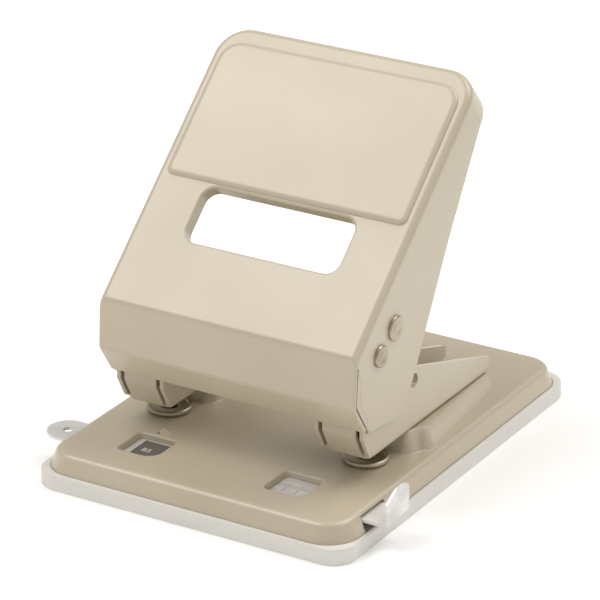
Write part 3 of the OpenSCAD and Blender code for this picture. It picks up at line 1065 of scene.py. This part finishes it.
    def pointer(self) -> bpy.types.Object:
        """Builds the small lanced pointer behind the left window: a wedge that rises to its slit.

        Returns:
            The finished piece.
        """
        shell = Shell()
        (x, y), z = self.pointer_place, self.top - 0.05
        share = np.linspace(0, 1, 13)
        length, width, height = 4.6, 3.6, 1.5
        arch = np.sin(share * math.pi) ** 0.7
        v = (share - 0.5) * length
        slit = np.stack([np.full(13, x), y + v, z + height * arch], 1)
        foot = np.stack([x + width * arch, y + v, np.full(13, z)], 1)
        low = slit * (1, 1, 0) + (0, 0, z)
        shell.grid(np.stack([slit, (slit + foot) / 2 + (0, 0, 0.16), foot]), flip=True)
        shell.grid(np.stack([low, slit]), flip=True)
        shell.grid(np.stack([foot, low]), flip=True)
        return shell.make("window_pointer")


@dataclass
class Tray:
    """The moulded chip tray: rim, ledge for the plate and a deep floor."""

    corner: float = 9.0
    floor: float = 1.6
    rim: float = 1.5
    plate_corner: float = 12.1
    lip: float = 3.0
    ledge_width: float = 3.0
    foot: float = 0.6
    crown: float = 0.9

    def build(self) -> bpy.types.Object:
        """Carries the wall's section from the outer outline to the plate's and closes floor and underside.

        Returns:
            The finished piece.
        """
        _, high = box_mm("chip_tray")
        hx, hy, top = high[0], high[1], high[2]
        arc = np.linspace(0, np.pi / 2, 7)
        outer = rounded(-hx, hx, -hy, hy, [self.corner] * 4, steps=14)
        ix, iy = hx - self.rim, hy - self.rim
        inner = rounded(-ix, ix, -iy, iy, [self.plate_corner] * 4, steps=14)
        sections = [(outer, self.foot * (1 - np.sin(a)), self.foot * (1 - np.cos(a))) for a in arc]
        sections += [(outer, self.crown * (1 - np.cos(a)), top - self.crown * (1 - np.sin(a))) for a in arc]
        sections += [(inner, -0.2, top), (inner, 0.0, top - 0.2), (inner, 0.0, top - self.lip),
                     (inner, self.ledge_width, top - self.lip), (inner, self.ledge_width, self.floor)]
        rings = np.stack([ring - inset * outward(ring) for ring, inset, _ in sections])
        z = np.array([level for *_, level in sections])
        height = np.broadcast_to(z[:, None, None], (*rings.shape[:2], 1))
        shell = Shell()
        shell.grid(np.concatenate([rings, height], axis=-1), closed=True)
        for ring, level in ((rings[0], 0.0), (rings[-1], self.floor)):
            shell.fill([ring], [], lambda p, z=level: np.concatenate([p, np.full((len(p), 1), z)], 1),
                       flip=level == 0)
        piece = shell.make("tray_moulding")
        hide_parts("chip_tray")
        return piece


@dataclass
class PunchFrame:
    """A folded U-channel: two walls, a web and the flap at the nose."""

    side: float
    sheet: float = 1.5
    bend: float = 2.1
    slit: float = 1.0
    bush: float = 4.5
    foot_ahead: float = 13.2
    overhang: float = 5.4
    rise: float = 10.0
    flap_below: float = 16.0
    wall_below: float = 14.0
    rear_height: float = 6.2
    ear: float = 6.6
    hole: float = 2.6
    hole_place: tuple[float, float] = (16.2, 18.6)

    def __post_init__(self) -> None:
        """Takes the frame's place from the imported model."""
        self.node = "right_frame" if self.side > 0 else "left_frame"
        low, high = box_mm(self.node)
        self.middle, self.half = (low[0] + high[0]) / 2, (high[0] - low[0]) / 2
        self.floor, self.rear = low[2], high[1]
        die_low, die_high = box_mm("right_die")
        self.punch_y = (die_low[1] + die_high[1]) / 2
        self.foot_y = self.punch_y - self.foot_ahead
        self.nose = self.foot_y - self.overhang
        self.pivot = np.array(joint("lever_press")["pos_m"])[1:] / MM

    def build(self) -> bpy.types.Object:
        """Builds one frame's sheet: web and flap, two bottom bends and two walls.

        Returns:
            The finished piece.
        """
        shell = Shell()
        inner, z0 = self.half - self.bend, self.floor
        path = filleted([(self.rear, z0, 0), (self.foot_y, z0, 2.0), (self.nose, z0 + self.rise, 2.4),
                         (self.nose, self.pivot[1] - self.flap_below, 0)], steps=6)
        level = np.stack([np.linspace(self.rear, path[1, 0], 12), np.full(12, z0)], 1)
        path = np.concatenate([level, path[2:]])
        free = ease((level[-1, 0] - path[:, 0]) / 0.6)
        across = (inner - self.slit * free)[:, None] * np.linspace(-1, 1, 7)
        sides = np.repeat(path.T[:, :, None], across.shape[1], axis=2)
        web = np.stack([across + self.middle, *sides], axis=-1)
        last = len(level) - 1
        shell.grid(web[last:])
        sheet = np.concatenate([web[last, :, :2], web[:last, -1, :2][::-1], web[0, 1:-1, :2][::-1],
                                web[:last, 0, :2]])
        turn = np.linspace(0, 2 * np.pi, 40, endpoint=False)
        opening = (self.middle, self.punch_y) + self.bush * np.stack([np.cos(turn), np.sin(turn)], 1)
        shell.fill([sheet], [opening], lambda p: np.concatenate([p, np.full((len(p), 1), z0)], 1), flip=True)
        phi = np.radians([0, 18, 36, 54, 72, 90])[:, None]
        for s in (-1.0, 1.0):
            x = self.middle + s * (inner + self.bend * np.sin(phi))
            z = z0 + self.bend * (1 - np.cos(phi))
            shape = (len(phi), len(level))
            bend = np.stack([np.broadcast_to(x, shape), np.broadcast_to(level[:, 0], shape),
                             np.broadcast_to(z, shape)], axis=-1)
            shell.grid(bend, flip=s > 0)
            shell.fill([self.wall_outline(level[:, 0])], self.wall_hole(s * self.side),
                       lambda p, s=s: np.concatenate([np.full((len(p), 1), self.middle + s * self.half), p], 1),
                       flip=s < 0)
        piece = shell.make(f"{self.node}_sheet", self.sheet)
        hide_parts(self.node)
        return piece

    def wall_outline(self, level: Array) -> Array:
        """Side view of a wall: nose, ear round the pivot, sloping top, rear end and bend line.

        Args:
            level: y along the bend line, from the rear to the front.

        Returns:
            A closed outline (n, 2).
        """
        z0, p = self.floor, self.pivot
        turn = np.radians(np.linspace(180, 0, 13))
        ear = p + self.ear * np.stack([np.cos(turn), np.sin(turn)], 1)
        slope = (p[1] - 11 - (z0 + self.rear_height)) / (self.rear - self.punch_y - 4)
        behind = p[0] + self.ear + 2.5
        nose = filleted([(level[-1], z0 + self.bend, 0), (self.foot_y - 0.9, z0 + self.bend - 0.4, 0.5),
                         (self.nose, z0 + self.rise, 2.0), (self.nose, p[1] - self.wall_below, 2.0),
                         (*ear[0], 0)], steps=4)[:-1]
        back = filleted([(*ear[-1], 0), (behind, z0 + self.rear_height + slope * (self.rear - behind), 4.0),
                         (self.rear, z0 + self.rear_height, 1.6), (self.rear, z0 + self.bend, 0)], steps=4)
        back = back[1:-1]
        bottom = np.stack([level, np.full(len(level), z0 + self.bend)], 1)[:-1]
        return np.concatenate([nose, ear, back, bottom])

    def wall_hole(self, outer: float) -> list[Array]:
        """The round hole, which only the wall on the outer side of the punch has.

        Args:
            outer: above 0 for the wall that faces away from the other frame.

        Returns:
            The hole's outline in a list, or an empty list.
        """
        if outer < 0:
            return []
        turn = np.linspace(0, 2 * np.pi, 28, endpoint=False)
        centre = np.array([self.punch_y + self.hole_place[0], self.floor + self.hole_place[1]])
        return [centre + self.hole * np.stack([np.cos(turn), np.sin(turn)], 1)]


@dataclass
class PaperGuide:
    """The sliding strip with its round end, hole and bent-up stop."""

    sheet: float = 1.0
    bend: float = 1.6
    hole: float = 1.8

    def build(self) -> bpy.types.Object:
        """Fills the flat pattern and folds its right end up round the bend line.

        Returns:
            The finished piece.
        """
        low, high = box_mm("paper_guide")
        x0, x1, y0, y1 = low[0], high[0], low[1], high[1]
        z = low[2]
        half = (y1 - y0) / 2
        middle = (y0 + y1) / 2
        flat_end = x1 - self.bend
        arc = self.bend * math.pi / 2
        tall = high[2] - z - self.bend
        end = flat_end + arc + tall
        bends = np.linspace(flat_end, flat_end + arc, 8)
        turn = np.radians(np.linspace(90, 270, 25))
        tongue = np.stack([x0 + half + half * np.cos(turn), middle + half * np.sin(turn)], 1)
        far = filleted([(bends[-1], y0, 0), (end - 3.6, y0, 0.6), (end, middle - 0.5, 1.5), (end, y1, 3.6),
                        (bends[-1], y1, 0)], steps=6)[1:-1]
        outline = np.concatenate([tongue, np.stack([bends, np.full(8, y0)], 1), far,
                                  np.stack([bends[::-1], np.full(8, y1)], 1)])
        circle = np.linspace(0, 2 * np.pi, 24, endpoint=False)
        hole = np.stack([x0 + half + self.hole * np.cos(circle), middle + self.hole * np.sin(circle)], 1)
        lines = [np.array([[b, y0], [b, y1]]) for b in bends]

        def fold(flat: Array) -> Array:
            """Flat up to the bend line, round an arc, then straight up; the skin faces down and out.

            Args:
                flat: points (n, 2) of the flat pattern.

            Returns:
                Places (n, 3).
            """
            u, y = flat[:, 0], flat[:, 1]
            angle = np.clip((u - flat_end) / self.bend, 0, np.pi / 2)
            past = np.maximum(u - flat_end - arc, 0)
            x = np.minimum(u, flat_end) + self.bend * np.sin(angle)
            up = self.bend * (1 - np.cos(angle)) + past
            return np.stack([x, y, z + up], 1)

        shell = Shell()
        shell.fill([outline], [hole], fold, flip=True, lines=lines)
        piece = shell.make("guide_strip", self.sheet)
        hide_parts("paper_guide")
        self.top = z + self.sheet
        self.middle = middle
        return piece

    def size_mark(self, text: str, x: float, height: float) -> bpy.types.Object:
        """Builds a printed paper-size mark that lies on the strip.

        Args:
            text: the mark.
            x: its middle, in millimetres.
            height: the letters' size, in millimetres.

        Returns:
            The finished piece.
        """
        curve = bpy.data.curves.new("size_mark", "FONT")
        curve.body = text
        curve.size = height * MM
        curve.align_x = "CENTER"
        curve.align_y = "CENTER"
        curve.extrude = 0.02 * MM
        word = bpy.data.objects.new("size_mark_text", curve)
        bpy.context.scene.collection.objects.link(word)
        bpy.context.view_layer.update()
        mesh = bpy.data.meshes.new_from_object(word.evaluated_get(bpy.context.evaluated_depsgraph_get()))
        bpy.data.objects.remove(word)
        mesh.transform(Matrix.Translation((x * MM, self.middle * MM, (self.top + 0.03) * MM)))
        solid = bmesh.new()
        solid.from_mesh(mesh)
        bmesh.ops.remove_doubles(solid, verts=solid.verts, dist=0.001 * MM)
        solid.to_mesh(mesh)
        solid.free()
        piece = bpy.data.objects.new(f"size_mark_{text}", mesh)
        bpy.context.scene.collection.objects.link(piece)
        return piece


@dataclass
class HeadedShaft:
    """A shaft across the lever with a riveted head on each side."""

    node: str
    radius: float
    head: float
    tall: float = 1.3
    dish: tuple[tuple[float, float], ...] = (
        (0.3, 0.0), (0.24, 0.5), (0.02, 0.58), (0.0, 0.66),
        (0.02, 0.84), (0.14, 0.93), (0.36, 0.985), (0.6, 1.0))

    def build(self) -> bpy.types.Object:
        """Turns half the shaft's profile, mirrored, round the shaft's own line.

        Returns:
            The finished piece.
        """
        low, high = box_mm(self.node)
        centre = (low + high) / 2
        end, back = high[0], high[0] - self.tall
        half = np.array([*((end - depth, share * self.head) for depth, share in self.dish),
                         (back, self.head), (back, self.radius)])
        profile = np.concatenate([half, half[::-1] * (-1, 1)])
        shell = Shell()
        shell.grid(revolve(profile, (0, centre[1], centre[2]), "x"), flip=True, closed=True)
        piece = shell.make(f"{self.node}_turned")
        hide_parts(self.node)
        return piece


@dataclass
class Die:
    """A hardened die: a round-edged ring on the plate, dished towards the bore."""

    side: str
    bore: float = 3.05
    barrel: float = 5.5
    flange: float = 6.4
    flange_height: float = 1.0
    ring_height: float = 1.9
    tube: float = 0.95
    dish_depth: float = 0.7
    dish_radius: float = 5.2

    def build(self) -> bpy.types.Object:
        """Turns the die's section round the punch's line.

        Returns:
            The finished piece.
        """
        node = f"{self.side}_die"
        low, high = box_mm(node)
        cx, cy = ((low + high) / 2)[:2]
        outer, bore, tube = (high[0] - low[0]) / 2, self.bore, self.tube
        top, foot = high[2], low[2]
        plate, dish = top - self.ring_height, top - self.dish_depth
        turn = np.radians(np.linspace(-40, 150, 16))
        ring = np.stack([plate + tube + tube * np.sin(turn), outer - tube + tube * np.cos(turn)], 1)
        below = [[foot, bore], [foot, self.flange], [foot + self.flange_height, self.flange],
                 [foot + self.flange_height, self.barrel], [plate, self.barrel], [plate, outer - 0.5]]
        within = [[dish, self.dish_radius], [dish, bore + 0.4], [top - 1.0, bore], [foot, bore]]
        profile = np.concatenate([below, ring, within])
        shell = Shell()
        shell.grid(revolve(profile, (cx, cy, 0), "z", 64), closed=True)
        piece = shell.make(f"{self.side}_die_turned")
        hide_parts(node)
        return piece


@dataclass
class CoilSpring:
    """A return spring with closed, flattened ends."""

    side: str
    wire: float = 0.45
    turns: float = 9.0

    def build(self) -> bpy.types.Object:
        """Carries a circle along a helix whose pitch closes up at both ends.

        Returns:
            The finished piece.
        """
        low, high = box_mm(f"{self.side}_spring")
        centre = (low + high) / 2
        radius = (high[0] - low[0]) / 2 - self.wire
        t = np.linspace(0, 1, int(self.turns * 40) + 1)
        climb = np.clip((t * self.turns - 1) / (self.turns - 2), 0, 1)
        climb = 0.03 * t + 0.97 * climb * climb * (3 - 2 * climb) * 0.5 + 0.97 * climb * 0.5
        z = low[2] + self.wire + climb / climb[-1] * (high[2] - low[2] - 2 * self.wire)
        turn = 2 * np.pi * self.turns * t
        ring = np.linspace(0, 2 * np.pi, 10, endpoint=False)
        r = radius + self.wire * np.cos(ring)[None, :]
        surface = np.stack([centre[0] + r * np.cos(turn)[:, None], centre[1] + r * np.sin(turn)[:, None],
                            z[:, None] + self.wire * np.sin(ring)[None, :]], axis=-1)
        ends = [np.repeat(surface[i].mean(axis=0)[None, None], 10, axis=1) for i in (0, -1)]
        shell = Shell()
        shell.grid(np.concatenate([ends[0], surface, ends[1]]), flip=True, closed=True)
        piece = shell.make(f"{self.side}_spring_coil")
        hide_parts(f"{self.side}_spring")
        self.seat = (centre[0] * MM, centre[1] * MM, (low[2] - 0.1) * MM)
        self.length = high[2] - low[2]
        return piece


@dataclass
class Studio:
    """Pale floor, soft light and the camera."""

    azimuth: float = 30.86
    elevation: float = 23.64
    lens: float = 228.05
    place: tuple[float, float, float] = (0.6231, -1.0479, 0.5868)
    floor_half: float = 6.0
    floor_glow: float = 0.14
    sky_strength: float = 0.4

    def build(self) -> None:
        """Sets up the floor, the lights and the camera."""
        scene = bpy.context.scene
        scene.view_settings.view_transform = "Standard"
        self.floor()
        self.lights()
        data = bpy.data.cameras.new("camera")
        data.lens = self.lens
        data.sensor_width = 36.0
        data.clip_end = 20.0
        camera = bpy.data.objects.new("camera", data)
        scene.collection.objects.link(camera)
        a, e = math.radians(self.azimuth), math.radians(self.elevation)
        back = Vector((math.sin(a) * math.cos(e), -math.cos(a) * math.cos(e), math.sin(e)))
        camera.rotation_euler = back.to_track_quat("Z", "Y").to_euler()
        camera.location = self.place
        scene.camera = camera

    def floor(self) -> None:
        """A large pale floor."""
        s = Shader("floor_paper")
        tone = s.ramp(s.noise(3.0, 2.0), 0.3, 0.7)
        paper = s.mix(tone * 0.2, rgba(253, 253, 253), rgba(251, 251, 251))
        mesh = bpy.data.meshes.new("floor")
        size = self.floor_half
        corners = [(-size, -size, 0), (size, -size, 0), (size, size, 0), (-size, size, 0)]
        mesh.from_pydata(corners, [], [(0, 1, 2, 3)])
        floor = bpy.data.objects.new("floor", mesh)
        bpy.context.scene.collection.objects.link(floor)
        mesh.materials.append(s.finish(paper, 0.9, Specular_IOR_Level=0.1, Emission_Color=(1, 1, 1, 1),
                                       Emission_Strength=self.floor_glow))

    def lights(self) -> None:
        """A white surround and three large soft lamps."""
        world = bpy.data.worlds.new("surround")
        bpy.context.scene.world = world
        world.use_nodes = True
        sky = world.node_tree.nodes["Background"]
        sky.inputs["Color"].default_value = (1.0, 0.985, 0.96, 1.0)
        sky.inputs["Strength"].default_value = self.sky_strength
        lamps = [("sheen", (-0.55, -0.35, 1.2), 0.8, 8.0), ("overhead", (0.4, 0.65, 1.2), 0.9, 9.0),
                 ("right", (1.3, -0.3, 0.6), 0.8, 0.9)]
        for name, place, size, power in lamps:
            data = bpy.data.lights.new(name, "AREA")
            data.shape = "SQUARE"
            data.size = size
            data.energy = power
            data.color = (1.0, 0.98, 0.95)
            lamp = bpy.data.objects.new(name, data)
            bpy.context.scene.collection.objects.link(lamp)
            lamp.location = place
            aim = Vector((0, 0, 0.05)) - Vector(place)
            lamp.rotation_euler = aim.to_track_quat("-Z", "Y").to_euler()


def dress_nodes(materials: dict[str, bpy.types.Material]) -> None:
    """Gives the CAD nodes that stay visible their materials.

    Args:
        materials: material of each CAD node by name.
    """
    for name, material in materials.items():
        node = frame["nodes"][name]
        node.data.materials.clear()
        node.data.materials.append(material)
        log.info("node %s keeps its shape, material %s", name, material.name)


def main() -> None:
    """Builds the punch piece by piece, then the studio."""
    enamel, plastic = ENAMEL.material(), PLASTIC.material()
    bright, hard, spring = BRIGHT.material(), HARD.material(), SPRING.material()
    die_steel_beige_reflection = DIE_STEEL_BEIGE_REFLECTION.material()
    plated, strip, white = PLATED.material(), STRIP.material(), WHITE_PRINT.material()

    dress(Lever().build(), enamel, "handle")
    plate = BasePlate()
    dress(plate.build(), enamel, "base")
    dress(plate.pointer(), enamel, "base")
    dress(Tray().build(), plastic, "tray")
    for side in (-1.0, 1.0):
        dress(PunchFrame(side).build(), enamel, "base")
    guide = PaperGuide()
    dress(guide.build(), strip, "guide")
    dress(guide.size_mark("B5", plate.window_left - 0.3, 3.6), white, "guide")
    for shaft in (HeadedShaft("pivot_shaft", 2.5, 4.0), HeadedShaft("drive_shaft", 3.0, 4.5)):
        dress(shaft.build(), plated, "handle")
    for side in ("left", "right"):
        dress(Die(side).build(), die_steel_beige_reflection, "base")
        coil = CoilSpring(side)
        piece = coil.build()
        piece.modifiers.clear()
        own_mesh(piece)
        dress(piece, spring, "base")
    dress_nodes({"frame_rivets": plated, "left_guide_bush": bright, "right_guide_bush": bright,
                 "left_punch": hard, "right_punch": hard, "pivot_washers": bright,
                 "left_guide_saddle": bright, "right_guide_saddle": bright, "guide_leaf_spring": spring})
    Studio().build()


if __name__ == "__main__":
    logging.basicConfig(level=logging.INFO, format="%(message)s")
    main()
